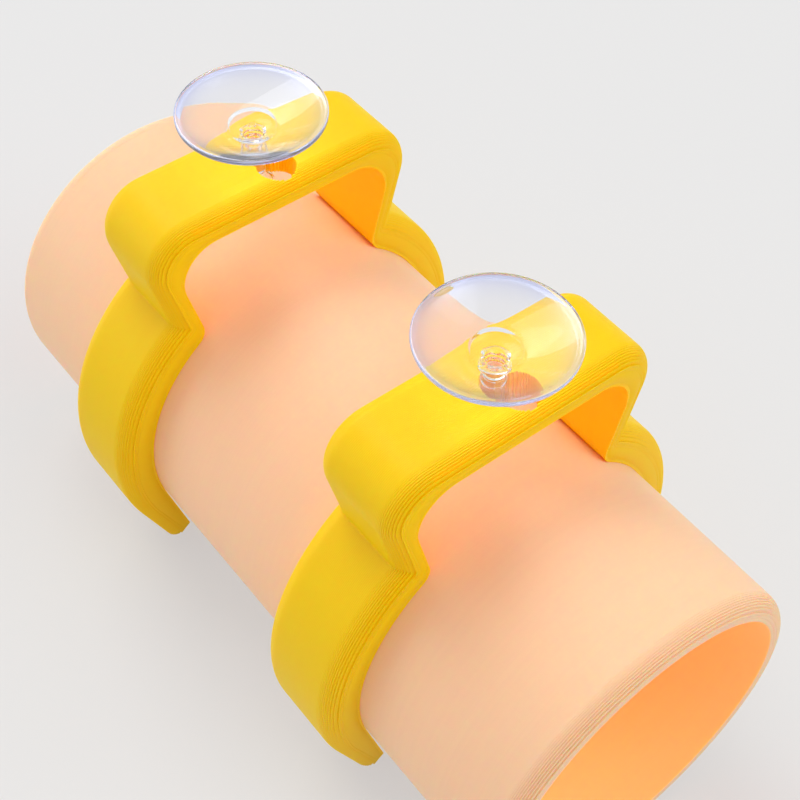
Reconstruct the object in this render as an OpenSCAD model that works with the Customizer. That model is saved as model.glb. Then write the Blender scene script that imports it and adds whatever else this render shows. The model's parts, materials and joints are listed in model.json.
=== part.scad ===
// Tube held up by two push-on clips, each with a suction cup in a keyhole.
// X runs along the tube, Z points up to the pane the cups hold on to.
// The origin is the middle of the tube's bore. All sizes are in mm.

/* [Tube] */
// Outside diameter of the tube
tube_od = 50; // [35:0.5:80]
// Wall thickness of the tube
tube_wall = 3.2; // [2.8:0.1:6]
// Length of the tube from end to end
tube_len = 115; // [95:1:220]
// Rounding of the outer edge at both ends of the tube
tube_round = 2.4; // [0.5:0.1:2.6]

/* [Clip] */
// Width of a clip along the tube
clip_w = 14.2; // [12:0.2:24]
// Distance between the middles of the two clips
clip_spacing = 49; // [46:0.5:80]
// How far the pair of clips sits from the middle of the tube
clip_shift = -1; // [-10:0.5:10]
// Thickness of the bridge plate and of its two legs
bridge_wall = 3.5; // [3:0.1:6]
// Thickness of the arms that hug the tube
arm_wall = 5.1; // [3.5:0.1:8]
// Height of the bridge's top above the tube
bridge_rise = 15.4; // [14:0.1:26]
// Width of the bridge across the tube, measured at its sharp corners
bridge_w = 45.4; // [40:0.2:56]
// Rounding of the bridge's outer corners
bridge_corner = 6.6; // [4:0.1:8]
// Angle from straight up to the neck where a leg meets its arm
neck_angle = 37.6; // [32:0.2:42]
// Angle from straight up to the cut tip of an arm
tip_angle = 130.5; // [122:0.5:138]
// Rounding of the clip's outer edges on both sides
clip_round = 2.5; // [0.5:0.1:2.8]

/* [Keyhole] */
// Diameter of the hole the cup's head goes in through
entry_d = 5.4; // [5:0.1:7.5]
// Distance from the seated cup to the middle of that hole
entry_reach = 3.4; // [2.8:0.1:4.2]
// Direction of the keyhole, turned from the tube's axis
entry_turn = 22; // [0:1:60]

/* [Suction cup] */
// Diameter of the cup's rim
cup_d = 20; // [18:0.5:30]
// Height of the rim above the bridge
cup_rise = 7.9; // [7.5:0.1:12]
// Depth of the bowl at its middle
bowl_depth = 2.7; // [2:0.1:3.6]
// Height of the cup's outer edge
lip_h = 0.8; // [0.6:0.1:1.4]
// Diameter of the flat ring at the bottom of the bowl
floor_d = 6.2; // [5:0.1:8]
// Diameter of the neck that sits in the slot
neck_d = 2.7; // [2.2:0.1:3.2]
// Diameter of the head under the bridge
head_d = 4.8; // [4.4:0.1:6.4]
// Thickness of the head
head_h = 1.8; // [1.2:0.1:2.4]

/* [Fits] */
// Gap between the tube and the arms, on each side
grip_gap = 0.05; // [0.02:0.01:0.1]
// Gap between a soft cup and the hard plastic around it
soft_gap = 0.3; // [0.2:0.05:0.4]

/* [Hidden] */
$fn = 96;

tube_r = tube_od / 2;
bore_r = tube_r - tube_wall;
hug_r = tube_r + grip_gap;
arm_r = hug_r + arm_wall;
bridge_top = tube_r + bridge_rise;
bridge_low = bridge_top - bridge_wall;
far_x = clip_shift - clip_spacing / 2;
near_x = clip_shift + clip_spacing / 2;
slot_w = neck_d + 2 * soft_gap;

// shape of the clip that no one sets: how much tighter the bridge's inside corner is,
// the rounding inside a heel, and how deep its bars run into their neighbours
corner_step = 1;
heel_r = 1.5;
bar_depth = 8;
leg_sink = 5;
lip_run = 12;

// outer corner, leg and neck of the bridge, as [y, z] points on the +Y side
corner = [bridge_w / 2, bridge_top];
neck = arm_r * [sin(neck_angle), cos(neck_angle)];
leg_lean = atan2(corner[0] - neck[0], corner[1] - neck[1]);
down = [-sin(leg_lean), -cos(leg_lean)];
out = [cos(leg_lean), -sin(leg_lean)];
half_turn = tan((90 - leg_lean) / 2);
bend_back = bridge_corner / half_turn;
bend_mid = [corner[0] - bend_back, bridge_top - bridge_corner];

// the same corner and neck on the inside of the wall
inner_round = bridge_corner - corner_step;
inner_y = corner[0] - bridge_wall * (tan(leg_lean) + 1 / cos(leg_lean));
inner_back = inner_round / half_turn;
inner_mid = [inner_y - inner_back, bridge_low - inner_round];
inner_leg = [inner_y, bridge_low] + inner_back * down;
heel_from = [inner_y, bridge_low] + heel_r * out;
heel_dot = heel_from * down;
heel_run = -heel_dot - sqrt(pow(heel_dot, 2) - heel_from * heel_from + pow(hug_r + heel_r, 2));
heel_mid = heel_from + heel_run * down;
heel_leg = heel_mid - heel_r * out;
heel_bore = heel_mid * hug_r / (hug_r + heel_r);

// where the inside and outside of a tip leave the round of the arm, and a point far past the tip
lip_in_arc = 24.5;
lip_out_arc = 16.8;
lip_in = tip_angle - lip_in_arc;
lip_out = tip_angle - lip_out_arc;
far_off = 4 * tube_r;

// heights and radii of the suction cup, heights from the top of the bridge
floor_wall = 1;
floor_step = 0.45;
floor_edge = 0.3;
hub_edge = 0.9;
hub_rise = 1.8;
hub_neck = 0.2;
head_round = 0.6;
rim_wall = 0.6;
rim_edge = 0.3;
rings = 3;
ring_out = 0.4;
ring_grow = 0.15;
ring_share = 0.6;
sink = 0.1;
head_top = -bridge_wall - soft_gap;
head_low = head_top - head_h;
rim_r = cup_d / 2;
bowl_z = cup_rise - bowl_depth;
hub_z = bowl_z - floor_wall;
hub_r = floor_d / 2 + hub_edge;
hub_low = hub_z - hub_rise;
ring_r = neck_d / 2 + ring_out;
ring_step = (hub_low - soft_gap) / rings;
step_z = bowl_z + floor_step;
bowl_bend = [0.62 * rim_r, step_z + 0.38 * (cup_rise - step_z)];

module half_section(size, w, e) {
  // a wall's section, its outer side on +X with both edges rounded
  translate([0, e - w / 2]) square([size, w - 2 * e]);
  translate([0, -w / 2]) square([size - e, w]);
  translate([size - e, e - w / 2]) circle(e);
  translate([size - e, w / 2 - e]) circle(e);
}

module puck(r) {
  // disc about the X axis with rounded rims
  rotate([0, 90, 0]) rotate_extrude() intersection() {
    half_section(r, clip_w, clip_round);
    translate([0, -clip_w]) square([2 * r, 2 * clip_w]);
  }
}

module slab(from, lean, run, depth) {
  // bar whose outer face starts at [y, z] = from and runs down the slope
  translate([0, from[0], from[1]]) rotate([lean, 0, 0]) translate([0, -depth, -run])
    linear_extrude(run) rotate(90) half_section(depth, clip_w, clip_round);
}

module bridge_half() {
  leg_top = corner + bend_back * down;
  leg_run = norm(neck - leg_top) + leg_sink;
  translate([0, bend_mid[0], bend_mid[1]]) puck(bridge_corner);
  slab(leg_top, -leg_lean, leg_run, bar_depth);
}

module lip_half() {
  touch = arm_r * [sin(lip_out), cos(lip_out)];
  slab(touch, -(lip_out - 90), lip_run, bar_depth);
}

module plate() {
  slab_len = 2 * bend_mid[0];
  translate([0, slab_len / 2, bridge_top]) rotate([90, 0, 0]) linear_extrude(slab_len)
    translate([0, -bar_depth]) rotate(90) half_section(bar_depth, clip_w, clip_round);
}

module window_2d() {
  difference() {
    polygon([
      [0, bridge_low], [inner_mid[0], bridge_low], inner_mid, inner_leg,
      heel_leg, heel_mid, heel_bore, [0, 0]
    ]);
    translate(heel_mid) circle(heel_r);
  }
  translate(inner_mid) circle(inner_round);
}

module mouth_2d() {
  touch = hug_r * [sin(lip_in), cos(lip_in)];
  along = [cos(lip_in), -sin(lip_in)];
  tip = far_off * [sin(tip_angle), cos(tip_angle)];
  polygon([[0, 0], touch, touch + tube_r * along, [0, -far_off]]);
  polygon([[0, 0], tip, [0, -far_off]]);
}

module hollow() {
  // everything the tube, the window and the open bottom take away
  rotate([90, 0, 90]) translate([0, 0, -clip_w]) linear_extrude(2 * clip_w) {
    circle(hug_r);
    window_2d();
    mirror([1, 0]) window_2d();
    mouth_2d();
    mirror([1, 0]) mouth_2d();
  }
}

module keyhole() {
  over = 1;
  deep = bridge_wall + 2 * over;
  rotate(entry_turn) translate([0, 0, bridge_low - over]) {
    cylinder(h = deep, d = slot_w);
    translate([entry_reach, 0, 0]) cylinder(h = deep, d = entry_d);
    translate([0, -slot_w / 2, 0]) cube([entry_reach, slot_w, deep]);
  }
}

module clip() {
  difference() {
    union() {
      puck(arm_r);
      plate();
      bridge_half();
      mirror([0, 1, 0]) bridge_half();
      lip_half();
      mirror([0, 1, 0]) lip_half();
    }
    hollow();
    keyhole();
  }
}

module cup_2d() {
  // head and neck
  translate([0, head_low + head_round]) square([head_d / 2, head_h - head_round]);
  translate([0, head_low]) square([head_d / 2 - head_round, head_h]);
  translate([head_d / 2 - head_round, head_low + head_round]) circle(head_round);
  translate([0, head_top - sink]) square([neck_d / 2, hub_z - head_top]);
  // rings above the bridge, each a little wider than the one below
  for (k = [0:rings - 1])
    translate([0, soft_gap + k * ring_step]) square([ring_r + k * ring_grow, ring_share * ring_step]);
  // hub, bowl and lip
  polygon([
    [0, hub_low], [neck_d / 2 + hub_neck, hub_low], [hub_r, hub_z],
    [rim_r - rim_edge, cup_rise - lip_h], [rim_r, cup_rise - lip_h + rim_edge], [rim_r, cup_rise],
    [rim_r - rim_wall, cup_rise], bowl_bend, [floor_d / 2 + floor_edge, step_z],
    [floor_d / 2, step_z], [floor_d / 2, bowl_z], [0, bowl_z]
  ]);
}

module cup() {
  translate([0, 0, bridge_top]) rotate_extrude() cup_2d();
}

module tube() {
  e = tube_round;
  color([0.95, 0.8, 0.67]) rotate([0, 90, 0]) rotate_extrude() intersection() {
    union() {
      translate([0, -tube_len / 2]) square([tube_r - e, tube_len]);
      translate([0, e - tube_len / 2]) square([tube_r, tube_len - 2 * e]);
      for (s = [-1, 1])
        translate([tube_r - e, s * (tube_len / 2 - e)]) circle(e);
    }
    translate([bore_r, -tube_len]) square([tube_r, 2 * tube_len]);
  }
}

module clip_far() {
  color([0.97, 0.83, 0.04]) translate([far_x, 0, 0]) clip();
}

module clip_near() {
  color([0.97, 0.83, 0.04]) translate([near_x, 0, 0]) clip();
}

module cup_far() {
  color([0.8, 0.85, 0.95]) translate([far_x, 0, 0]) cup();
}

module cup_near() {
  color([0.8, 0.85, 0.95]) translate([near_x, 0, 0]) cup();
}

tube();
clip_far();
clip_near();
cup_far();
cup_near();
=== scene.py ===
"""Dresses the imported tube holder: a printed tube, two printed clips and two clear suction cups."""

import json
import math

import bmesh
import bpy
import numpy as np
from mathutils import Euler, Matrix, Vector

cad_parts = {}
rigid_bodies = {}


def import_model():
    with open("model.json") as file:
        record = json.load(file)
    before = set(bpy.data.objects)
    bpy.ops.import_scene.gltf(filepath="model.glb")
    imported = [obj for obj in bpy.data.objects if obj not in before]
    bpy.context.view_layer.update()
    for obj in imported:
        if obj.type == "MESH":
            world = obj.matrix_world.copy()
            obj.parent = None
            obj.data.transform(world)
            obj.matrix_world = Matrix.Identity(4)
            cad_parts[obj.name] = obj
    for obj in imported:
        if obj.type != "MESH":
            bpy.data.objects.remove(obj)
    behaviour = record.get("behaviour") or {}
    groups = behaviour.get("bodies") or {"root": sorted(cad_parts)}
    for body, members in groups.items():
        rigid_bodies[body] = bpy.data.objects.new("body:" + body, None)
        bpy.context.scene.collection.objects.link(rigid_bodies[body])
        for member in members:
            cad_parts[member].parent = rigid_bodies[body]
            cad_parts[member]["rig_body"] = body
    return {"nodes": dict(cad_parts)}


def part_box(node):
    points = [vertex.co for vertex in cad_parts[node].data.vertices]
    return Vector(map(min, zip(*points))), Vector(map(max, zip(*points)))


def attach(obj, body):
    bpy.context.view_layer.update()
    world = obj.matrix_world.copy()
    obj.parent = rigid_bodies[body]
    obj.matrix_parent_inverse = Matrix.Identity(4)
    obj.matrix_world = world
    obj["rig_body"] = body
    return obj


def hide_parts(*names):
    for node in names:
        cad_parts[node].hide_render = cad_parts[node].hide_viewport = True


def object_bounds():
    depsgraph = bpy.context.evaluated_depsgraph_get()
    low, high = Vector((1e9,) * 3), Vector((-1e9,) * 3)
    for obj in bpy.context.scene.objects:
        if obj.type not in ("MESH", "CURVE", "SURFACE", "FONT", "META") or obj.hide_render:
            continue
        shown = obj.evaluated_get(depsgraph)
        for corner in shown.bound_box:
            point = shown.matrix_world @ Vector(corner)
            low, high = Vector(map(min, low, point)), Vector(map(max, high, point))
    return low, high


bl_info = {
    "name": "Suction Cup Tube Holder",
    "version": (1, 0, 0),
    "blender": (4, 5, 0),
    "location": "View3D > Sidebar > Tube Holder",
    "description": "A printed tube in two push-on clips, each held up by a clear suction cup",
    "category": "Add Mesh",
}

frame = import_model()
CAD_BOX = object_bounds()

MM = 0.001
SIDES = ("far", "near")
WELD = 2e-7


def node_box(name):
    """Lowest corner, highest corner and middle of a CAD node."""
    low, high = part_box(name)
    return low, high, (low + high) / 2


def size(name, description, millimetres, low=0.0):
    """A length that a user may change, in metres."""
    return bpy.props.FloatProperty(
        name=name,
        description=description,
        default=millimetres * MM,
        min=low * MM,
        precision=5,
        unit="LENGTH",
        subtype="DISTANCE",
    )


def angle(name, description, degrees):
    """An angle that a user may change."""
    return bpy.props.FloatProperty(
        name=name,
        description=description,
        default=math.radians(degrees),
        unit="ROTATION",
        subtype="ANGLE",
    )


def tint(name, description, colour):
    """A linear colour that a user may change."""
    return bpy.props.FloatVectorProperty(
        name=name,
        description=description,
        default=colour,
        min=0.0,
        max=1.0,
        size=3,
        subtype="COLOR",
    )


class TubeSizes(bpy.types.PropertyGroup):
    """Sizes and colours of the printed tube. Its diameter and length come from the frame."""

    wall: size("Wall", "Thickness of the tube's wall", 3.2)
    end_round: size("End rounding", "Rounding of the outer edge at both ends", 2.4)
    layer: size("Layer", "Height of one printed layer", 0.24)
    groove: size("Groove", "Depth of the groove between two layers", 0.02)
    bead: size("Bead", "Width of one printed line on the end faces", 0.5)
    outer: tint("Outer colour", "Colour of the outside of the tube", (0.97, 0.63, 0.39))
    # inner is painted shade and glow: the bore's deeper orange stands in for its shade and for light through the
    # wall, not for another plastic
    inner: tint("Inner colour", "Colour of the bore, where light glows through", (1.0, 0.55, 0.2))


class ClipSizes(bpy.types.PropertyGroup):
    """Sizes and colours of the printed clips. Their width, height and places come from the frame."""

    bridge_wall: size("Bridge wall", "Thickness of the bridge plate and its legs", 3.5)
    arm_wall: size("Arm wall", "Thickness of the arms that hug the tube", 5.1)
    grip_gap: size("Grip gap", "Gap between the tube and the arms", 0.05)
    bridge_width: size("Bridge width", "Width of the bridge at its sharp corners", 45.4)
    corner_round: size("Corner rounding", "Rounding of the bridge's outer corners", 6.6)
    edge_round: size("Edge rounding", "Rounding of the outer edges on both sides", 2.5)
    heel_round: size("Heel rounding", "Rounding inside, where a leg meets its arm", 2.8)
    neck_round: size("Neck rounding", "Fillet outside, where a leg meets its arm", 0.5)
    neck_angle: angle("Neck angle", "From straight up to the outer neck", 37.6)
    tip_angle: angle("Tip angle", "From straight up to the cut tip of an arm", 130.5)
    lip_inner: angle("Inner lip", "How far before its tip the inside of an arm straightens", 24.5)
    lip_outer: angle("Outer lip", "How far before its tip the outside of an arm straightens", 16.8)
    layer: size("Layer", "Height of one printed layer", 0.24)
    groove: size("Groove", "Depth of the groove between two layers", 0.035)
    bead: size("Bead", "Width of one printed line on the end faces", 0.45)
    slot_width: size("Slot width", "Width of the keyhole's slot", 3.3)
    entry_diameter: size("Entry diameter", "Diameter of the keyhole's entry", 5.4)
    entry_reach: size("Entry reach", "From the cup's neck to the middle of the entry", 3.4)
    entry_turn: angle("Entry turn", "Direction of the keyhole from the tube's axis", 22.0)
    # outer is the plastic's own colour; inner is a painted shade of it, a deeper orange for faces turned to the tube
    # and for the keyhole's walls
    outer: tint("Outer colour", "Colour of the plastic in the light", (1.0, 0.62, 0.0))
    inner: tint("Inner colour", "Colour of the faces that light reaches through the plastic", (1.0, 0.55, 0.0))


class CupSizes(bpy.types.PropertyGroup):
    """Sizes and tint of the suction cups. Their diameter and height come from the frame."""

    head_diameter: size("Head diameter", "Diameter of the head under the bridge", 4.8)
    head_height: size("Head height", "Thickness of that head", 1.8)
    neck_diameter: size("Neck diameter", "Diameter of the neck in the slot", 2.7)
    ring_diameter: size("Ring diameter", "Diameter of the neck's lowest ring", 3.1)
    ring_count: bpy.props.IntProperty(name="Rings", description="Rings round the neck", default=3, min=1)
    hub_diameter: size("Hub diameter", "Diameter of the hub under the bowl", 7.0)
    hub_height: size("Hub height", "Height of the hub's slope", 0.5)
    bowl_depth: size("Bowl depth", "Depth of the bowl at its middle", 2.7)
    floor_diameter: size("Floor diameter", "Diameter of the recessed floor", 6.2)
    floor_step: size("Floor step", "Depth of the recessed floor", 0.45)
    floor_wall: size("Floor wall", "Thickness of the cup at the hub", 1.1)
    bowl_wall: size("Bowl wall", "Thickness of the bowl near its lip", 0.55)
    nub_diameter: size("Nub diameter", "Diameter of the small nub on the floor", 1.6)
    nub_height: size("Nub height", "Height of that nub", 0.2)
    lip_height: size("Lip height", "Height of the cup's outer edge", 0.8)
    clear: tint("Tint", "Tint of the clear vinyl", (0.97, 0.98, 1.0))


class StageSettings(bpy.types.PropertyGroup):
    """Floor, light and camera."""

    floor_colour: tint("Floor colour", "Colour of the floor", (0.78, 0.775, 0.775))
    backdrop: tint("Backdrop", "Background seen by the camera and in reflections", (0.79, 0.79, 0.79))
    sky: bpy.props.FloatProperty(name="Sky", description="Strength of the light all round", default=0.52)
    lamp: bpy.props.FloatProperty(name="Lamp", description="Strength of the soft lamp", default=1.35)
    floor_glow: bpy.props.FloatProperty(name="Floor glow", description="How far the floor hides shadows", default=0.6)
    lens: bpy.props.FloatProperty(name="Lens", description="Focal length in millimetres", default=68.0)
    place: bpy.props.FloatVectorProperty(
        name="Place",
        description="Where the camera stands",
        default=(0.10538, -0.08102, 0.17477),
        unit="LENGTH",
        subtype="TRANSLATION",
        precision=5,
    )
    turn: bpy.props.FloatVectorProperty(
        name="Turn",
        description="How the camera is turned",
        default=tuple(math.radians(a) for a in (39.62, -1.03, 51.94)),
        unit="ROTATION",
        subtype="EULER",
        precision=5,
    )


class HolderSettings(bpy.types.PropertyGroup):
    """Every group of settings that the operators read."""

    tube: bpy.props.PointerProperty(type=TubeSizes)
    clip: bpy.props.PointerProperty(type=ClipSizes)
    cup: bpy.props.PointerProperty(type=CupSizes)
    stage: bpy.props.PointerProperty(type=StageSettings)


# ---------------------------------------------------------------- nodes


def wire(tree, kind, links=(), **settings):
    """Adds a node, sets it up, and connects or fills its inputs."""
    node = tree.nodes.new(kind)
    for key, value in settings.items():
        setattr(node, key, value)
    for slot, value in links:
        if isinstance(value, bpy.types.NodeSocket):
            tree.links.new(value, node.inputs[slot])
        else:
            node.inputs[slot].default_value = value
    return node


def calc(tree, operation, a, b=0.0):
    """Output of a Math node."""
    return wire(tree, "ShaderNodeMath", [(0, a), (1, b)], operation=operation).outputs[0]


def vector(tree, operation, a, b):
    """Output of a Vector Math node, b being a number for SCALE."""
    slot = 3 if operation == "SCALE" else 1
    return wire(tree, "ShaderNodeVectorMath", [(0, a), (slot, b)], operation=operation).outputs[0]


def new_tree(name, kind, inputs, outputs):
    """A node group with named sockets, and its input and output nodes."""
    tree = bpy.data.node_groups.new(name, kind)
    for label, socket, value in inputs:
        made = tree.interface.new_socket(label, in_out="INPUT", socket_type="NodeSocket" + socket)
        if value is not None:
            made.default_value = value
    for label, socket in outputs:
        tree.interface.new_socket(label, in_out="OUTPUT", socket_type="NodeSocket" + socket)
    return tree, tree.nodes.new("NodeGroupInput").outputs, tree.nodes.new("NodeGroupOutput").inputs


def finish_tree(tree, geometry, material, out):
    """Ends a geometry tree as every piece needs it."""
    real = wire(tree, "GeometryNodeRealizeInstances", [(0, geometry)])
    painted = wire(tree, "GeometryNodeSetMaterial", [("Geometry", real.outputs[0]), ("Material", material)])
    tree.links.new(painted.outputs[0], out[0])


def lathe_tree():
    """Turns the points of a profile, x outwards and y along, into a closed skin about Z."""
    tree, given, out = new_tree(
        "turned_profile",
        "GeometryNodeTree",
        [
            ("Profile", "Geometry", None),
            ("Points", "Int", 8),
            ("Segments", "Int", 96),
            ("Tilt", "Rotation", None),
            ("Place", "Vector", None),
            ("Material", "Material", None),
        ],
        [("Piece", "Geometry")],
    )
    columns = calc(tree, "ADD", given["Segments"], 1)
    grid = wire(tree, "GeometryNodeMeshGrid", [("Vertices X", columns), ("Vertices Y", given["Points"])])
    index = tree.nodes.new("GeometryNodeInputIndex").outputs[0]
    along = calc(tree, "MODULO", index, given["Points"])
    column = calc(tree, "FLOOR", calc(tree, "DIVIDE", index, given["Points"]))
    round_angle = calc(tree, "MULTIPLY", calc(tree, "DIVIDE", column, given["Segments"]), math.tau)
    place = tree.nodes.new("GeometryNodeInputPosition").outputs[0]
    point = wire(
        tree,
        "GeometryNodeSampleIndex",
        [("Geometry", given["Profile"]), ("Value", place), ("Index", along)],
        data_type="FLOAT_VECTOR",
    )
    split = wire(tree, "ShaderNodeSeparateXYZ", [(0, point.outputs[0])]).outputs
    ring = wire(
        tree,
        "ShaderNodeCombineXYZ",
        [
            (0, calc(tree, "MULTIPLY", split[0], calc(tree, "COSINE", round_angle))),
            (1, calc(tree, "MULTIPLY", split[0], calc(tree, "SINE", round_angle))),
            (2, split[1]),
        ],
    )
    skin = wire(tree, "GeometryNodeSetPosition", [("Geometry", grid.outputs[0]), ("Position", ring.outputs[0])])
    welded = wire(tree, "GeometryNodeMergeByDistance", [("Geometry", skin.outputs[0]), ("Distance", WELD)])
    placed = wire(
        tree,
        "GeometryNodeTransform",
        [("Geometry", welded.outputs[0]), ("Translation", given["Place"]), ("Rotation", given["Tilt"])],
    )
    finish_tree(tree, placed.outputs[0], given["Material"], out)
    return tree


def layer_tree():
    """Stacks printed layers along X from a flat outline, and closes both ends with the outline's face."""
    tree, given, out = new_tree(
        "layer_stack",
        "GeometryNodeTree",
        [
            ("Outline", "Geometry", None),
            ("Points", "Int", 8),
            ("Layers", "Int", 59),
            ("Width", "Float", 0.0142),
            ("Edge Rounding", "Float", 0.0025),
            ("Groove", "Float", 0.00003),
            ("Middle", "Float", 0.0),
            ("Material", "Material", None),
        ],
        [("Piece", "Geometry")],
    )
    rings = calc(tree, "ADD", calc(tree, "MULTIPLY", given["Layers"], 3), 1)
    columns = calc(tree, "ADD", given["Points"], 1)
    grid = wire(tree, "GeometryNodeMeshGrid", [("Vertices X", rings), ("Vertices Y", columns)])
    index = tree.nodes.new("GeometryNodeInputIndex").outputs[0]
    ring = calc(tree, "FLOOR", calc(tree, "DIVIDE", index, columns))
    along = calc(tree, "MODULO", calc(tree, "MODULO", index, columns), given["Points"])
    layer = calc(tree, "FLOOR", calc(tree, "DIVIDE", ring, 3))
    step = calc(tree, "MODULO", ring, 3)
    # a bead's widest part lies between 0.3 and 0.7 of its layer
    share = calc(tree, "SUBTRACT", calc(tree, "MULTIPLY", step, 0.4), 0.1)
    share = calc(tree, "MAXIMUM", share, 0.0)
    pitch = calc(tree, "DIVIDE", given["Width"], given["Layers"])
    half = calc(tree, "MULTIPLY", given["Width"], 0.5)
    across = calc(tree, "SUBTRACT", calc(tree, "MULTIPLY", calc(tree, "ADD", layer, share), pitch), half)
    # the groove belongs to every ring that starts a layer, but not to the two end faces
    inner_ring = calc(tree, "GREATER_THAN", ring, 0.5)
    inner_ring = calc(tree, "MULTIPLY", inner_ring, calc(tree, "LESS_THAN", ring, calc(tree, "SUBTRACT", rings, 1.5)))
    starts = calc(tree, "MULTIPLY", calc(tree, "LESS_THAN", step, 0.5), inner_ring)
    groove = calc(tree, "MULTIPLY", starts, given["Groove"])
    # how far the rounded edge has drawn the outline in at the layer's middle
    last = calc(tree, "SUBTRACT", given["Layers"], 1)
    middle = calc(tree, "MULTIPLY", calc(tree, "ADD", calc(tree, "MINIMUM", layer, last), 0.5), pitch)
    middle = calc(tree, "ABSOLUTE", calc(tree, "SUBTRACT", middle, half))
    edge = given["Edge Rounding"]
    past = calc(tree, "MAXIMUM", calc(tree, "SUBTRACT", middle, calc(tree, "SUBTRACT", half, edge)), 0.0)
    level = calc(tree, "SQRT", calc(tree, "SUBTRACT", calc(tree, "POWER", edge, 2), calc(tree, "POWER", past, 2)))
    draw_in = calc(tree, "SUBTRACT", edge, level)

    def sampled(value, kind):
        node = wire(
            tree,
            "GeometryNodeSampleIndex",
            [("Geometry", given["Outline"]), ("Value", value), ("Index", along)],
            data_type=kind,
        )
        return node.outputs[0]

    def named(name, kind):
        return wire(tree, "GeometryNodeInputNamedAttribute", [("Name", name)], data_type=kind).outputs[0]

    place = tree.nodes.new("GeometryNodeInputPosition").outputs[0]
    point = sampled(place, "FLOAT_VECTOR")
    point = vector(tree, "ADD", point, vector(tree, "SCALE", sampled(named("inset", "FLOAT_VECTOR"), "FLOAT_VECTOR"), draw_in))
    point = vector(tree, "SUBTRACT", point, vector(tree, "SCALE", sampled(named("away", "FLOAT_VECTOR"), "FLOAT_VECTOR"), groove))
    point = vector(tree, "ADD", point, wire(tree, "ShaderNodeCombineXYZ", [(0, across)]).outputs[0])
    skin = wire(tree, "GeometryNodeSetPosition", [("Geometry", grid.outputs[0]), ("Position", point)])
    # inside is kept for the material, which paints shade and a glow on these faces
    marked = wire(
        tree,
        "GeometryNodeStoreNamedAttribute",
        [("Geometry", skin.outputs[0]), ("Name", "inside"), ("Value", sampled(named("inside", "FLOAT"), "FLOAT"))],
        data_type="FLOAT",
    )
    # both end faces are the outline's own strip of faces, drawn in as the outermost layer is
    end_past = calc(tree, "SUBTRACT", edge, calc(tree, "MULTIPLY", pitch, 0.5))
    end_level = calc(tree, "SQRT", calc(tree, "SUBTRACT", calc(tree, "POWER", edge, 2), calc(tree, "POWER", end_past, 2)))
    end_inset = calc(tree, "SUBTRACT", edge, end_level)
    shift = vector(tree, "SCALE", named("inset", "FLOAT_VECTOR"), end_inset)
    faces = []
    for side in (-1, 1):
        depth = calc(tree, "SUBTRACT", half, named("scratch", "FLOAT"))
        out_by = wire(tree, "ShaderNodeCombineXYZ", [(0, calc(tree, "MULTIPLY", depth, side))]).outputs[0]
        offset = vector(tree, "ADD", shift, out_by)
        moved = wire(tree, "GeometryNodeSetPosition", [("Geometry", given["Outline"]), ("Offset", offset)])
        faces.append(moved.outputs[0])
    joined = wire(tree, "GeometryNodeJoinGeometry")
    for part in (marked.outputs[0], *faces):
        tree.links.new(part, joined.inputs[0])
    welded = wire(tree, "GeometryNodeMergeByDistance", [("Geometry", joined.outputs[0]), ("Distance", WELD)])
    away = wire(tree, "ShaderNodeCombineXYZ", [(0, given["Middle"])]).outputs[0]
    placed = wire(tree, "GeometryNodeTransform", [("Geometry", welded.outputs[0]), ("Translation", away)])
    finish_tree(tree, placed.outputs[0], given["Material"], out)
    return tree


def grown(name, base, tree, values):
    """Runs a geometry tree on a base mesh and returns a plain object of the result, normals outwards."""
    holder = bpy.data.objects.new(name + "_base", base)
    bpy.context.scene.collection.objects.link(holder)
    modifier = holder.modifiers.new("grow", "NODES")
    modifier.node_group = tree
    for item in tree.interface.items_tree:
        if item.in_out == "INPUT" and item.name in values:
            modifier[item.identifier] = values[item.name]
    bpy.context.view_layer.update()
    graph = bpy.context.evaluated_depsgraph_get()
    mesh = bpy.data.meshes.new_from_object(holder.evaluated_get(graph), depsgraph=graph)
    holder.modifiers.remove(modifier)
    bpy.data.objects.remove(holder)
    bpy.data.meshes.remove(base)
    mesh.name = name
    outwards(mesh)
    piece = bpy.data.objects.new(name, mesh)
    bpy.context.scene.collection.objects.link(piece)
    if not mesh.polygons:
        raise RuntimeError(f"{name} came out empty")
    return piece


def outwards(mesh):
    """Makes every face of a closed mesh point outwards."""
    work = bmesh.new()
    work.from_mesh(mesh)
    open_edges = sum(1 for e in work.edges if not e.is_manifold)
    if open_edges:
        work.free()
        raise RuntimeError(f"{mesh.name} has {open_edges} open edges")
    bmesh.ops.recalc_face_normals(work, faces=work.faces)
    if work.calc_volume(signed=True) < 0:
        bmesh.ops.reverse_faces(work, faces=work.faces)
    work.to_mesh(mesh)
    work.free()


def shade(piece, sharp_above):
    """Smooth shading with sharp edges above an angle in degrees."""
    piece.data.shade_smooth()
    piece.data.set_sharp_from_angle(angle=math.radians(sharp_above))


def dress(piece, node, body):
    """Lets a piece stand for its CAD node and move with its body."""
    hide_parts(node)
    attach(piece, body)


def body_holding(node):
    """Name of the body that a CAD node belongs to."""
    return frame["nodes"][node]["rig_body"]


# ---------------------------------------------------------------- finishes


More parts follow.
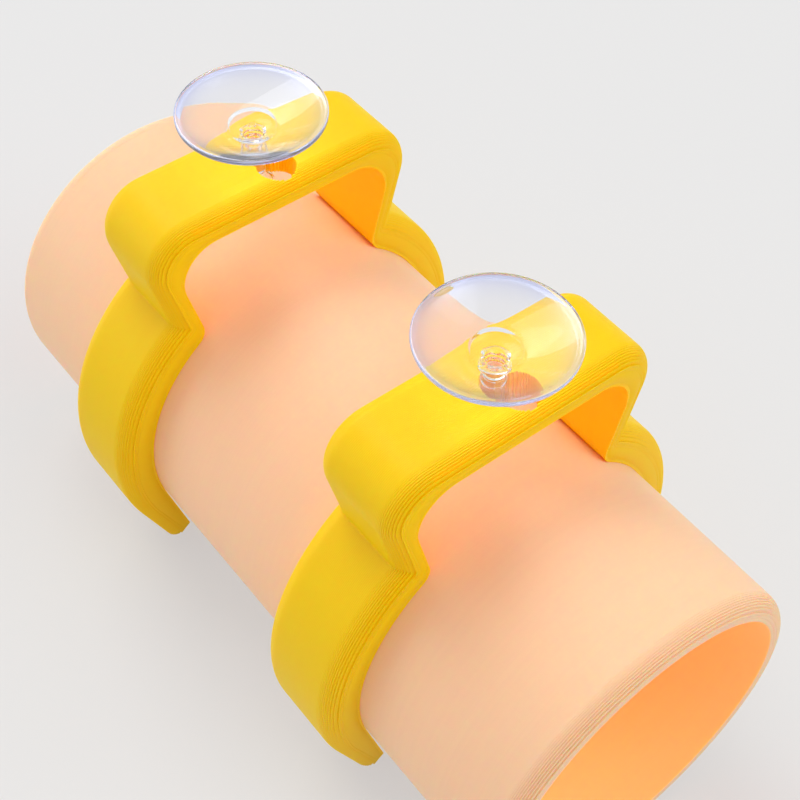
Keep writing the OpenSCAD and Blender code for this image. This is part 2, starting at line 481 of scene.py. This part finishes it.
def speckle_tree():
    """Shared finish of printed plastic: a little difference from layer to layer, and a fine grain."""
    tree, given, out = new_tree(
        "printed_grain",
        "ShaderNodeTree",
        [
            ("Pitch", "Float", 0.00024),
            ("Layer Contrast", "Float", 0.012),
            ("Grain Contrast", "Float", 0.02),
            ("Seed", "Float", 0.0),
        ],
        [("Shade", "Float"), ("Lines", "Float"), ("Grain", "Float")],
    )
    spot = wire(tree, "ShaderNodeTexCoord").outputs["Object"]
    split = wire(tree, "ShaderNodeSeparateXYZ", [(0, spot)]).outputs
    rows = calc(tree, "ADD", calc(tree, "DIVIDE", split[0], given["Pitch"]), given["Seed"])
    row_noise = wire(
        tree, "ShaderNodeTexWhiteNoise", [("W", calc(tree, "FLOOR", rows))], noise_dimensions="1D"
    ).outputs["Value"]
    cloud = wire(
        tree,
        "ShaderNodeTexNoise",
        [("Vector", spot), ("Scale", 160.0), ("Detail", 3.0), ("Roughness", 0.6)],
    ).outputs["Fac"]
    fine = wire(
        tree, "ShaderNodeTexNoise", [("Vector", spot), ("Scale", 2600.0), ("Detail", 2.0)]
    ).outputs["Fac"]
    layer_part = calc(tree, "MULTIPLY", calc(tree, "SUBTRACT", row_noise, 0.5), given["Layer Contrast"])
    cloud_part = calc(tree, "MULTIPLY", calc(tree, "SUBTRACT", cloud, 0.5), given["Grain Contrast"])
    shade_out = calc(tree, "ADD", calc(tree, "ADD", layer_part, cloud_part), 1.0)
    wave = calc(tree, "ABSOLUTE", calc(tree, "SUBTRACT", calc(tree, "FRACT", rows), 0.5))
    lines = calc(tree, "SUBTRACT", 1.0, calc(tree, "POWER", calc(tree, "MULTIPLY", wave, 2.0), 4.0))
    tree.links.new(shade_out, out["Shade"])
    tree.links.new(lines, out["Lines"])
    tree.links.new(fine, out["Grain"])
    return tree


def plastic(name, outer, inner, mask_of, grain, pitch, line_depth, glow, reach, roughness, painted_glow_strength):
    """Printed plastic whose hidden faces get painted shade in a deeper colour and a faint painted glow. mask_of makes
    the mask's socket.
    """
    material = bpy.data.materials.new(name)
    material.use_nodes = True
    tree = material.node_tree
    shader = tree.nodes["Principled BSDF"]
    shader.inputs["Roughness"].default_value = roughness
    shader.inputs["IOR"].default_value = 1.45
    shader.inputs["Specular IOR Level"].default_value = 0.25
    shader.inputs["Subsurface Weight"].default_value = glow
    # red light wanders far inside the plastic, green and blue hardly at all
    shader.inputs["Subsurface Radius"].default_value = (1.0, 0.25, 0.08)
    shader.inputs["Subsurface Scale"].default_value = reach
    group = wire(tree, "ShaderNodeGroup", node_tree=grain)
    group.inputs["Pitch"].default_value = pitch
    mask = mask_of(tree)
    # painted shade: the masked faces take the deeper inner colour, a shaded copy of the outer colour
    colour_with_painted_shade = wire(
        tree,
        "ShaderNodeMix",
        [(0, mask), (6, (*outer, 1)), (7, (*inner, 1))],
        data_type="RGBA",
    )
    toned = wire(
        tree,
        "ShaderNodeVectorMath",
        [(0, colour_with_painted_shade.outputs[2]), (3, group.outputs["Shade"])],
        operation="SCALE",
    )
    # painted glow: the hidden faces emit a faint orange that stands in for light coming through the wall, which has
    # lost its blue and most of its green
    through = (inner[0], inner[1] * 0.6, inner[2] * 0.4)
    painted_glow_colour = vector(tree, "SCALE", through, mask)
    tree.links.new(painted_glow_colour, shader.inputs["Emission Color"])
    shader.inputs["Emission Strength"].default_value = painted_glow_strength
    tree.links.new(toned.outputs[0], shader.inputs["Base Color"])
    height = group.outputs["Grain"]
    if line_depth:
        lines = calc(tree, "MULTIPLY", group.outputs["Lines"], line_depth / (6 * MM / 1000))
        height = calc(tree, "ADD", height, lines)
    bump = wire(
        tree, "ShaderNodeBump", [("Height", height), ("Distance", 6 * MM / 1000), ("Strength", 0.25)]
    )
    tree.links.new(bump.outputs[0], shader.inputs["Normal"])
    return material


def clip_painted_light_mask(tree):
    """Mask of the faces that turn towards the tube, and of the keyhole's walls, which the mesh carries; there the
    clip gets painted shade and a painted glow.
    """
    names = ("inside", "keyhole")
    marks = [wire(tree, "ShaderNodeAttribute", attribute_name=name).outputs["Fac"] for name in names]
    return calc(tree, "MAXIMUM", *marks)


def bore_painted_light_mask(radius):
    """Maker of the mask of everything nearer to the tube's axis than radius, where the bore gets painted shade and a
    painted glow.
    """

    def mask(tree):
        spot = wire(tree, "ShaderNodeTexCoord").outputs["Object"]
        split = wire(tree, "ShaderNodeSeparateXYZ", [(0, spot)]).outputs
        square = calc(tree, "ADD", calc(tree, "POWER", split[1], 2), calc(tree, "POWER", split[2], 2))
        return calc(tree, "LESS_THAN", calc(tree, "SQRT", square), radius)

    return mask


def clear_vinyl(colour, middle, rim):
    """Clear soft vinyl, a little cooler towards the rim, where one looks through more of it."""
    material = bpy.data.materials.new("clear_vinyl")
    material.use_nodes = True
    tree = material.node_tree
    shader = tree.nodes["Principled BSDF"]
    shader.inputs["Roughness"].default_value = 0.03
    shader.inputs["IOR"].default_value = 1.3
    shader.inputs["Specular IOR Level"].default_value = 0.9
    shader.inputs["Transmission Weight"].default_value = 0.985
    shader.inputs["Coat Roughness"].default_value = 0.25
    shader.inputs["Coat IOR"].default_value = 2.2
    shader.inputs["Coat Tint"].default_value = (0.86, 0.88, 1.0, 1.0)
    shader.inputs["Sheen Weight"].default_value = 0.6
    shader.inputs["Sheen Roughness"].default_value = 0.2
    shader.inputs["Sheen Tint"].default_value = (0.78, 0.81, 1.0, 1.0)
    spot = wire(tree, "ShaderNodeTexCoord").outputs["Object"]
    smudge = wire(
        tree, "ShaderNodeTexNoise", [("Vector", spot), ("Scale", 260.0), ("Detail", 4.0)]
    ).outputs["Fac"]
    from_middle = vector(tree, "SUBTRACT", spot, middle)
    flat = wire(tree, "ShaderNodeVectorMath", [(0, from_middle), (1, (1, 1, 0))], operation="MULTIPLY")
    distance = wire(tree, "ShaderNodeVectorMath", [(0, flat.outputs[0])], operation="LENGTH").outputs["Value"]
    edge = calc(tree, "POWER", calc(tree, "DIVIDE", distance, rim), 10)
    cool = (0.74, 0.78, 1.0, 1.0)
    tinted = wire(tree, "ShaderNodeMix", [(0, edge), (6, (*colour, 1)), (7, cool)], data_type="RGBA")
    tree.links.new(tinted.outputs[2], shader.inputs["Base Color"])
    film = calc(tree, "POWER", calc(tree, "DIVIDE", distance, rim), 7)
    tree.links.new(calc(tree, "ADD", calc(tree, "MULTIPLY", film, 0.85), 0.08), shader.inputs["Coat Weight"])
    rough = calc(tree, "ADD", calc(tree, "MULTIPLY", smudge, 0.05), 0.01)
    tree.links.new(rough, shader.inputs["Roughness"])
    bump = wire(tree, "ShaderNodeBump", [("Height", smudge), ("Distance", 0.00004), ("Strength", 0.25)])
    tree.links.new(bump.outputs[0], shader.inputs["Normal"])
    return material


# ---------------------------------------------------------------- outlines


def arc(middle, radius, start, end, steps):
    """Points round a middle, angles counted from straight up towards +x, both ends included."""
    angles = np.linspace(start, end, steps + 1)
    return [(middle[0] + radius * math.sin(a), middle[1] + radius * math.cos(a)) for a in angles]


def turned(name, profile, segments, tilt, place, material, tree):
    """A piece turned from a profile of (radius, height) points."""
    base = bpy.data.meshes.new(name + "_profile")
    base.from_pydata([(r, z, 0) for r, z in profile], [(i, i + 1) for i in range(len(profile) - 1)], [])
    values = {
        "Points": len(profile),
        "Segments": segments,
        "Tilt": tilt,
        "Place": place,
        "Material": material,
    }
    return grown(name, base, tree, values)


def bead_profile(outline_at, ends, layers, groove):
    """(radius, along) points of stacked beads between two heights, radius given by outline_at(height)."""
    start, end = ends
    pitch = (end - start) / layers
    points = []
    for k in range(layers):
        radius = outline_at(start + (k + 0.5) * pitch)
        low = start + k * pitch
        points += [(radius - groove, low), (radius, low + 0.3 * pitch), (radius, low + 0.7 * pitch)]
        points.append((radius - groove, low + pitch))
    return points


def end_face(outer, inner, along, bead, groove, side):
    """(radius, along) points across a printed end face, with a groove between its lines."""
    lines = max(1, round((outer - inner) / bead))
    pitch = (outer - inner) / lines
    points = []
    for k in range(1, lines):
        radius = outer - k * pitch
        points += [(radius + 0.15 * pitch, along), (radius, along - side * groove), (radius - 0.15 * pitch, along)]
    return points


def tube_profile(s, radius, half_length):
    """The tube's section, round from the middle of its outside back to there."""
    bore = radius - s.wall
    e = s.end_round
    layers = round(e / s.layer)

    def rounded(height):
        past = max(0.0, abs(height) - (half_length - e))
        return radius - e + math.sqrt(max(0.0, e * e - past * past))

    side = bead_profile(rounded, (half_length - e, half_length), layers, s.groove)
    top = rounded(half_length - s.layer / 2)
    face = end_face(top - s.groove, bore + 0.15 * MM, half_length, s.bead, 2 * s.groove, 1)
    lip = [(bore + 0.15 * MM, half_length), (bore, half_length - 0.15 * MM)]
    right = [(radius, 0.0), (radius, half_length - e - s.layer)] + side + face + lip
    left = [(r, -z) for r, z in reversed(right)]
    return right + [(bore, 0.0)] + left


class ClipOutline:
    """The clip's flat outline in Y and Z, its outside drawn in by any depth."""

    BEND, HEEL, ARM, LIP = 16, 6, 30, 2

    def __init__(self, s, tube_radius, top):
        self.s = s
        self.top = top
        self.hug = tube_radius + s.grip_gap
        self.arm = self.hug + s.arm_wall
        corner = np.array([s.bridge_width / 2, top])
        neck = self.arm * np.array([math.sin(s.neck_angle), math.cos(s.neck_angle)])
        self.corner = corner
        self.lean = math.atan2(corner[0] - neck[0], corner[1] - neck[1])
        self.down = np.array([-math.sin(self.lean), -math.cos(self.lean)])
        self.out = np.array([math.cos(self.lean), -math.sin(self.lean)])
        self.half_turn = math.tan((math.pi / 2 - self.lean) / 2)

    def bend(self, start, radius, rounding):
        """A rounded corner that starts level and ends down the leg."""
        back = rounding / self.half_turn
        middle = (start[0] - back, start[1] - rounding)
        return arc(middle, radius, 0.0, math.pi / 2 + self.lean, self.BEND)

    def onto(self, start, round_radius, ring, outside):
        """Middle of a small circle that touches the leg's face through start and a ring about the tube."""
        origin = start + round_radius * self.out
        reach = ring + round_radius if outside else ring + round_radius
        dot = float(origin @ self.down)
        run = -dot - math.sqrt(dot * dot - float(origin @ origin) + reach * reach)
        return origin + run * self.down

    def foot(self, middle, radius, steps):
        """The small circle's arc from the leg's face to the ring about the tube."""
        start = math.atan2(-self.out[0], -self.out[1]) + math.tau
        end = math.atan2(-middle[0], -middle[1]) + math.tau
        return arc(middle, radius, start, end, steps)

    def lip(self, ring, straight_from):
        """The arm's straight end, from where it leaves its ring to the cut tip."""
        touch = ring * np.array([math.sin(straight_from), math.cos(straight_from)])
        along = np.array([math.cos(straight_from), -math.sin(straight_from)])
        run = ring * math.tan(self.s.tip_angle - straight_from)
        return [tuple(touch + along * run * k / self.LIP) for k in range(1, self.LIP + 1)]

    def outside(self, depth):
        """Points from the middle of the top to the tip, drawn in by depth."""
        s = self.s
        ring = self.arm - depth
        level = self.corner - depth * self.out
        bend = self.bend((self.corner[0], self.top), s.corner_round - depth, s.corner_round)
        middle = self.onto(level, s.neck_round, ring, True)
        foot = self.foot(middle, s.neck_round, self.HEEL)
        start = math.atan2(middle[0], middle[1])
        lip_from = s.tip_angle - s.lip_outer
        body = arc((0, 0), ring, start, lip_from, self.ARM)
        return [(0.0, self.top - depth)] + bend + foot + body[1:] + self.lip(ring, lip_from)

    def inside(self):
        """Points from the middle of the bridge's underside to the tip."""
        s = self.s
        low = self.top - s.bridge_wall
        shift = s.bridge_wall * (math.tan(self.lean) + 1 / math.cos(self.lean))
        corner = np.array([self.corner[0] - shift, low])
        rounding = s.corner_round - 1 * MM
        bend = self.bend((corner[0], low), rounding, rounding)
        middle = self.onto(corner, s.heel_round, self.hug, False)
        foot = self.foot(middle, s.heel_round, self.HEEL)
        start = math.atan2(middle[0], middle[1])
        lip_from = s.tip_angle - s.lip_inner
        body = arc((0, 0), self.hug, start, lip_from, self.ARM)
        return [(0.0, low)] + bend + foot + body[1:] + self.lip(self.hug, lip_from)


def both_halves(half):
    """A half outline from its middle outwards, made whole from the left tip to the right one."""
    half = np.array(half)
    return np.vstack([half[::-1] * [-1, 1], half[1:]])


def clip_strip(s, outline, width):
    """Flat C-shaped face of the clip, its rim points first, with what the layer tree reads."""
    layers = round(width / s.layer)
    past = s.edge_round - width / layers / 2
    end_depth = s.edge_round - math.sqrt(s.edge_round**2 - past**2)
    outer = both_halves(outline.outside(0.0))
    drawn = both_halves(outline.outside(s.edge_round))
    inset = (drawn - outer) / s.edge_round
    inner = both_halves(outline.inside())
    outer_end = outer + end_depth * inset
    gap = 0.16 * s.bead
    rows = []
    for distance, from_outer in ((1, True), (2, True), (1, False)):
        rows += [(distance * s.bead + k * gap, from_outer, k == 0) for k in (-1, 0, 1)]
    rows = rows[:6] + rows[8:5:-1]
    columns = len(outer)
    span = inner - outer_end
    reach = np.linalg.norm(span, axis=1)
    shares = [np.where(fo, dist / reach, 1 - dist / reach) for dist, fo, _ in rows]
    grid = np.array([outer_end + span * share[:, None] for share in shares])
    # order: outside, right tip, inside backwards, left tip, then what lies within
    count = len(rows)
    slot = np.zeros((columns, count + 2), int)
    slot[:, 0] = np.arange(columns)
    slot[-1, 1 : count + 1] = columns + np.arange(count)
    slot[::-1, count + 1] = columns + count + np.arange(columns)
    slot[0, count:0:-1] = 2 * columns + count + np.arange(count)
    loop = 2 * (columns + count)
    inner_slots = loop + np.arange((columns - 2) * count).reshape(columns - 2, count)
    slot[1:-1, 1 : count + 1] = inner_slots
    total = loop + (columns - 2) * count
    place, pull, mark, scratch = np.zeros((total, 3)), np.zeros((total, 3)), np.zeros(total), np.zeros(total)
    place[slot[:, 0], 1:], pull[slot[:, 0], 1:] = outer, inset
    # the inside mark picks the faces towards the tube, which get the clip's painted shade and glow
    place[slot[:, count + 1], 1:], mark[slot[:, count + 1]] = inner, 1.0
    for j in range(count):
        for i in (0, columns - 1):
            f = shares[j][i]
            place[slot[i, j + 1], 1:] = outer[i] * (1 - f) + inner[i] * f
            pull[slot[i, j + 1], 1:] = inset[i] * (1 - f)
        place[slot[1:-1, j + 1], 1:] = grid[j][1:-1]
        scratch[slot[1:-1, j + 1]] = s.groove if rows[j][2] else 0.0
    ring = place[:loop, 1:]
    ahead, behind = np.roll(ring, -1, 0) - ring, ring - np.roll(ring, 1, 0)
    along = ahead / np.linalg.norm(ahead, axis=1)[:, None] + behind / np.linalg.norm(behind, axis=1)[:, None]
    away = np.zeros((total, 3))
    away[:loop, 1:] = np.stack([-along[:, 1], along[:, 0]], 1)
    away[:loop] /= np.linalg.norm(away[:loop], axis=1)[:, None]
    faces = [
        (slot[i, j], slot[i + 1, j], slot[i + 1, j + 1], slot[i, j + 1])
        for i in range(columns - 1)
        for j in range(count + 1)
    ]
    mesh = bpy.data.meshes.new("clip_outline")
    mesh.from_pydata(place.tolist(), [], [tuple(int(v) for v in f) for f in faces])
    for name, kind, values in (
        ("inset", "FLOAT_VECTOR", pull),
        ("away", "FLOAT_VECTOR", away),
        ("inside", "FLOAT", mark),
        ("scratch", "FLOAT", scratch),
    ):
        made = mesh.attributes.new(name, kind, "POINT")
        made.data.foreach_set("vector" if kind == "FLOAT_VECTOR" else "value", values.astype(np.float32).ravel())
    return mesh, loop, layers


def keyhole_cutter(s, middle, width, low, high, material):
    """Block in the keyhole's plan, stepped where each printed layer ends."""
    layers = round(width / s.layer)
    pitch = width / layers
    slot, entry = s.slot_width / 2, s.entry_diameter / 2
    way = np.array([math.cos(s.entry_turn), math.sin(s.entry_turn)])
    trace = [(way * s.entry_reach * t, slot) for t in np.linspace(0, 1, 40)]
    trace.append((way * s.entry_reach, entry))
    upper, lower = [], []
    for k in range(layers):
        x = -width / 2 + (k + 0.5) * pitch
        hits = [(c[1], math.sqrt(r * r - (x - c[0]) ** 2)) for c, r in trace if abs(x - c[0]) < r]
        if hits:
            ends = (-width / 2 + k * pitch, -width / 2 + (k + 1) * pitch)
            upper += [(e, max(y + h for y, h in hits)) for e in ends]
            lower += [(e, min(y - h for y, h in hits)) for e in ends]
    plan = upper + lower[::-1]
    mesh = bpy.data.meshes.new("keyhole")
    count = len(plan)
    rims = [(middle + x, y, z) for z in (low, high) for x, y in plan]
    walls = [(i, (i + 1) % count, count + (i + 1) % count, count + i) for i in range(count)]
    mesh.from_pydata(rims, [], [tuple(range(count))[::-1], tuple(range(count, 2 * count)), *walls])
    mesh.materials.append(material)
    outwards(mesh)
    cutter = bpy.data.objects.new("keyhole", mesh)
    bpy.context.scene.collection.objects.link(cutter)
    return cutter


def cut(piece, cutter):
    """Takes the cutter out of the piece and removes the cutter."""
    modifier = piece.modifiers.new("cut", "BOOLEAN")
    modifier.object = cutter
    modifier.solver = "MANIFOLD"
    graph = bpy.context.evaluated_depsgraph_get()
    mesh = bpy.data.meshes.new_from_object(piece.evaluated_get(graph), depsgraph=graph)
    piece.modifiers.remove(modifier)
    old = piece.data
    mesh.name = old.name + "_cut"
    piece.data = mesh
    bpy.data.meshes.remove(old)
    bpy.data.objects.remove(cutter)


def mark_keyhole(mesh, middle, width, low):
    """Marks the keyhole's upright walls, which lie above low and away from the clip's end faces, for the clip's
    painted shade and glow.
    """
    side = width / 2 - 0.5 * MM
    values = []
    for face in mesh.polygons:
        x, _, z = face.center
        upright = abs(face.normal.z) < 0.3
        values.append(float(upright and z > low and abs(x - middle) < side and abs(face.center.y) < width / 2))
    mesh.attributes.new("keyhole", "FLOAT", "FACE").data.foreach_set("value", values)


def cup_head(s, low):
    """(radius, height) points of the head that hangs under the bridge, up to where the neck leaves it."""
    head, neck = s.head_diameter / 2, s.neck_diameter / 2
    top = low + s.head_height
    soft, edge, root = 0.6 * MM, 0.15 * MM, 0.2 * MM
    belly = arc((head - soft, low + soft), soft, math.pi, math.pi / 2, 5)
    return [(0.0, low), *belly, (head, top - edge), (head - edge, top), (neck + root, top), (neck, top + root)]


def cup_rings(s, start, end):
    """Points of the soft rings between bridge and hub, each a little wider than the one below."""
    neck, soft = s.neck_diameter / 2, 0.12 * MM
    pitch = (end - start) / s.ring_count
    points = []
    for k in range(s.ring_count):
        low = start + k * pitch
        out = s.ring_diameter / 2 + k * 0.12 * MM
        points += [(neck, low - 0.02 * MM), *arc((out - soft, low + soft), soft, math.pi, 0, 6)]
        points += [(out - soft, low + 0.6 * pitch), (neck, low + 0.6 * pitch + 0.04 * MM)]
    return points


def cup_bowl(s, rim, top):
    """Points of the hub, the bowl's underside, the lip, the inside and the recessed floor."""
    floor = s.floor_diameter / 2
    hub = s.hub_diameter / 2
    bowl = top - s.bowl_depth
    step = bowl + s.floor_step
    foot, brim = floor + 0.45 * MM, rim - 0.45 * MM

    def inside(radius):
        share = max(0.0, min(1.0, (radius - foot) / (brim - foot)))
        return step + (top - step) * share**1.35

    def underside(radius):
        share = (radius - hub) / (rim - hub)
        return inside(radius) - s.floor_wall + (s.floor_wall - s.bowl_wall) * share

    hub_top = underside(hub)
    root = s.neck_diameter / 2 + 0.4 * MM
    points = [(root + (hub - root) * t**0.7, hub_top - s.hub_height * (1 - t)) for t in np.linspace(0, 0.9, 7)]
    lip = 0.24 * MM
    points += [(r, underside(r)) for r in np.linspace(hub, rim - 3 * lip, 24)]
    points += arc((rim - lip, top - s.lip_height + lip), lip, math.pi, math.pi / 2, 5)
    points += arc((rim - lip, top - lip), lip, math.pi / 2, 0, 5)
    points += [(r, inside(r)) for r in np.linspace(brim - 0.05 * MM, foot, 28)]
    points += arc((floor + 0.2 * MM, step - 0.14 * MM), 0.14 * MM, 0, -math.pi / 2, 5)
    points += [(floor, bowl + 0.1 * MM), (floor - 0.1 * MM, bowl)]
    nub = s.nub_diameter / 2
    points += [(floor * t, bowl) for t in (0.85, 0.6, 0.4)]
    return points + [(nub * t, bowl + s.nub_height * math.cos(t * math.pi / 2) ** 2) for t in (1, 0.8, 0.6, 0.4, 0.2, 0)]


def cup_profile(s, rim, low, top, bridge_top):
    """The whole section of a suction cup, from the middle of its head to the middle of its floor."""
    start = bridge_top + 0.3 * MM
    end = top - s.bowl_depth + s.floor_step - s.floor_wall - s.hub_height
    return cup_head(s, low) + cup_rings(s, start, end - 0.1 * MM) + cup_bowl(s, rim, top)


# ---------------------------------------------------------------- operators


class HOLDER_OT_tube(bpy.types.Operator):
    """Make the printed tube with its layered, rounded ends."""

    bl_idname = "holder.tube"
    bl_label = "Tube"

    def execute(self, context):
        s = context.scene.holder.tube
        low, high, middle = node_box("tube")
        radius, half = (high.z - low.z) / 2, (high.x - low.x) / 2
        finish = plastic(
            "tube_plastic",
            s.outer,
            s.inner,
            bore_painted_light_mask(radius - s.wall + 0.1 * MM),
            bpy.data.node_groups["printed_grain"],
            s.layer,
            0.002 * MM,
            0.6,
            4.0 * MM,
            0.55,
            # 0.28 is the strength of the bore's painted glow
            0.28,
        )
        profile = tube_profile(s, radius, half)
        tilt = Euler((0, math.pi / 2, 0))
        piece = turned(
            "printed_tube", profile, 288, tilt, middle, finish, bpy.data.node_groups["turned_profile"]
        )
        shade(piece, 50)
        dress(piece, "tube", body_holding("tube"))
        return {"FINISHED"}


class HOLDER_OT_clips(bpy.types.Operator):
    """Make both printed clips, layer by layer, with their keyholes."""

    bl_idname = "holder.clips"
    bl_label = "Clips"

    def execute(self, context):
        s = context.scene.holder.clip
        finish = plastic(
            "clip_plastic",
            s.outer,
            s.inner,
            clip_painted_light_mask,
            bpy.data.node_groups["printed_grain"],
            s.layer,
            0.0,
            0.5,
            2.0 * MM,
            0.48,
            # 0.14 is the strength of the painted glow on the faces towards the tube and on the keyhole's walls
            0.14,
        )
        tube_low, tube_high, _ = node_box("tube")
        for side in SIDES:
            node = "clip_" + side
            low, high, middle = node_box(node)
            width = high.x - low.x
            outline = ClipOutline(s, (tube_high.z - tube_low.z) / 2, high.z)
            base, points, layers = clip_strip(s, outline, width)
            values = {
                "Points": points,
                "Layers": layers,
                "Width": width,
                "Edge Rounding": s.edge_round,
                "Groove": s.groove,
                "Middle": middle.x,
                "Material": finish,
            }
            piece = grown("printed_" + node, base, bpy.data.node_groups["layer_stack"], values)
            deep = s.bridge_wall + 1 * MM
            cut(piece, keyhole_cutter(s, middle.x, width, high.z - deep, high.z + 1 * MM, finish))
            mark_keyhole(piece.data, middle.x, width, high.z - deep)
            shade(piece, 55)
            dress(piece, node, body_holding(node))
        return {"FINISHED"}


class HOLDER_OT_cups(bpy.types.Operator):
    """Make both clear suction cups, with the head and neck that hold them in the keyholes."""

    bl_idname = "holder.cups"
    bl_label = "Suction Cups"

    def execute(self, context):
        s = context.scene.holder.cup
        for side in SIDES:
            node = "cup_" + side
            low, high, middle = node_box(node)
            rim = (high.x - low.x) / 2
            bridge_top = node_box("clip_" + side)[1].z
            profile = cup_profile(s, rim, low.z, high.z, bridge_top)
            finish = clear_vinyl(s.clear, middle, rim)
            place = Vector((middle.x, middle.y, 0.0))
            piece = turned(
                "vinyl_" + node, profile, 128, Euler((0, 0, 0)), place, finish, bpy.data.node_groups["turned_profile"]
            )
            shade(piece, 40)
            piece.visible_shadow = False
            dress(piece, node, body_holding(node))
        return {"FINISHED"}


class HOLDER_OT_stage(bpy.types.Operator):
    """Make the pale floor, the soft light and the camera."""

    bl_idname = "holder.stage"
    bl_label = "Stage"

    def execute(self, context):
        s = context.scene.holder.stage
        self.floor(s)
        self.sky(context.scene, s)
        self.lamps(context.scene, s)
        self.camera(context.scene, s)
        context.scene.view_settings.view_transform = "Standard"
        return {"FINISHED"}

    def floor(self, s):
        """A wide pale floor just under the tube."""
        mesh = bpy.data.meshes.new("floor")
        reach, z = 4.0, CAD_BOX[0].z
        mesh.from_pydata([(x, y, z) for x, y in ((-reach, -reach), (reach, -reach), (reach, reach), (-reach, reach))], [], [(0, 1, 2, 3)])
        floor = bpy.data.objects.new("floor", mesh)
        bpy.context.scene.collection.objects.link(floor)
        material = bpy.data.materials.new("pale_floor")
        material.use_nodes = True
        tree = material.node_tree
        shader = tree.nodes["Principled BSDF"]
        shader.inputs["Base Color"].default_value = (*s.floor_colour, 1)
        shader.inputs["Roughness"].default_value = 0.9
        shader.inputs["Specular IOR Level"].default_value = 0.1
        glow = wire(tree, "ShaderNodeEmission", [("Color", (*s.backdrop, 1)), ("Strength", 1.0)])
        path = wire(tree, "ShaderNodeLightPath").outputs
        looks = calc(tree, "MAXIMUM", path["Is Camera Ray"], path["Is Transmission Ray"])
        share = calc(tree, "MULTIPLY", calc(tree, "MAXIMUM", looks, path["Is Glossy Ray"]), s.floor_glow)
        mix = wire(tree, "ShaderNodeMixShader", [(0, share), (1, shader.outputs[0]), (2, glow.outputs[0])])
        tree.links.new(mix.outputs[0], tree.nodes["Material Output"].inputs["Surface"])
        mesh.materials.append(material)

    def sky(self, scene, s):
        """Even light all round, and a plain background where the camera or a reflection looks past the floor."""
        world = bpy.data.worlds.new("soft_room")
        world.use_nodes = True
        tree = world.node_tree
        tree.nodes.clear()
        light = wire(tree, "ShaderNodeBackground", [("Color", (1.0, 1.0, 1.0, 1)), ("Strength", s.sky)])
        seen = wire(tree, "ShaderNodeBackground", [("Color", (*s.backdrop, 1)), ("Strength", 1.0)])
        path = wire(tree, "ShaderNodeLightPath").outputs
        looks = calc(tree, "MAXIMUM", path["Is Camera Ray"], path["Is Transmission Ray"])
        looks = calc(tree, "MAXIMUM", looks, path["Is Glossy Ray"])
        mix = wire(tree, "ShaderNodeMixShader", [(0, looks), (1, light.outputs[0]), (2, seen.outputs[0])])
        wire(tree, "ShaderNodeOutputWorld", [("Surface", mix.outputs[0])])
        scene.world = world

    def lamps(self, scene, s):
        """A broad soft lamp from beyond the far end, and weaker ones from the left and the near end."""
        for name, towards, share, spread in (
            ("lamp_far", (-0.62, 0.05, 0.78), 1.0, 40),
            ("lamp_left", (-0.75, -0.62, 0.2), 0.45, 40),
            ("lamp_front", (0.6, 0.4, 0.7), 0.7, 50),
        ):
            data = bpy.data.lights.new(name, "SUN")
            data.energy = s.lamp * share
            data.angle = math.radians(spread)
            lamp = bpy.data.objects.new(name, data)
            scene.collection.objects.link(lamp)
            lamp.rotation_euler = Vector(towards).to_track_quat("Z", "Y").to_euler()

    def camera(self, scene, s):
        """The camera, looking down along the clips."""
        data = bpy.data.cameras.new("camera")
        data.lens = s.lens
        data.clip_start = 0.005
        camera = bpy.data.objects.new("camera", data)
        scene.collection.objects.link(camera)
        camera.location = s.place
        camera.rotation_euler = s.turn
        scene.camera = camera


class HOLDER_PT_panel(bpy.types.Panel):
    """Lists the pieces of the tube holder and their settings."""

    bl_idname = "HOLDER_PT_panel"
    bl_label = "Tube Holder"
    bl_space_type = "VIEW_3D"
    bl_region_type = "UI"
    bl_category = "Tube Holder"

    def draw(self, context):
        settings = context.scene.holder
        for operator, group in ((HOLDER_OT_tube, "tube"), (HOLDER_OT_clips, "clip"), (HOLDER_OT_cups, "cup"), (HOLDER_OT_stage, "stage")):
            box = self.layout.box()
            box.operator(operator.bl_idname)
            values = getattr(settings, group)
            for name in values.__annotations__:
                box.prop(values, name)


CLASSES = (
    TubeSizes,
    ClipSizes,
    CupSizes,
    StageSettings,
    HolderSettings,
    HOLDER_OT_tube,
    HOLDER_OT_clips,
    HOLDER_OT_cups,
    HOLDER_OT_stage,
    HOLDER_PT_panel,
)


def register():
    """Registers every class and the scene's settings."""
    for each in CLASSES:
        bpy.utils.register_class(each)
    bpy.types.Scene.holder = bpy.props.PointerProperty(type=HolderSettings)


def unregister():
    """Takes back what register did."""
    del bpy.types.Scene.holder
    for each in reversed(CLASSES):
        bpy.utils.unregister_class(each)


def main():
    """Makes the stage and every piece."""
    register()
    lathe_tree()
    layer_tree()
    speckle_tree()
    bpy.ops.holder.stage()
    bpy.ops.holder.tube()
    bpy.ops.holder.clips()
    bpy.ops.holder.cups()


if __name__ == "__main__":
    main()
